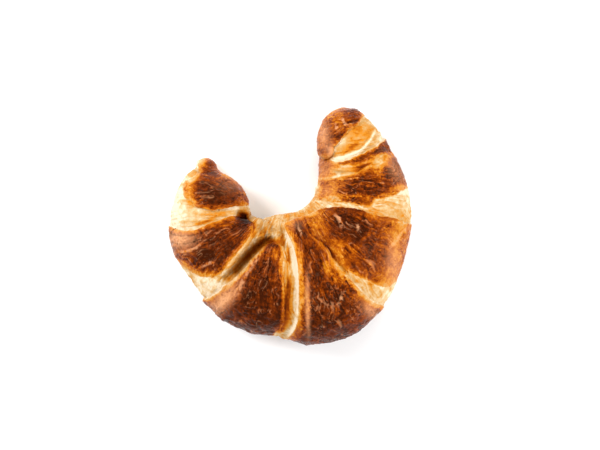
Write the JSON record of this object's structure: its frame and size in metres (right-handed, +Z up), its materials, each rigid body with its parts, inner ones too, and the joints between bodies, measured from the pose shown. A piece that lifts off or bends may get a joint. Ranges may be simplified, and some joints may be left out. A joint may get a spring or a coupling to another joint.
{
  "type": "croissant",
  "caption": "Crescent butter croissant, one baked piece of rolled, layered dough with a glossy brown crust and pale dough showing between its turns.",
  "frame": {"origin": "middle of the footprint's bounding box, on the surface that the croissant lies on", "axes": "+Z up from the flat baked underside, +Y the way the two horns point, +X towards the longer, right horn"},
  "size_m": [0.1266, 0.1232, 0.0487],
  "materials": {
    "crust": "satin"
  },
  "bodies": {
    "root": {"croissant": "crust"}
  },
  "joints": []
}
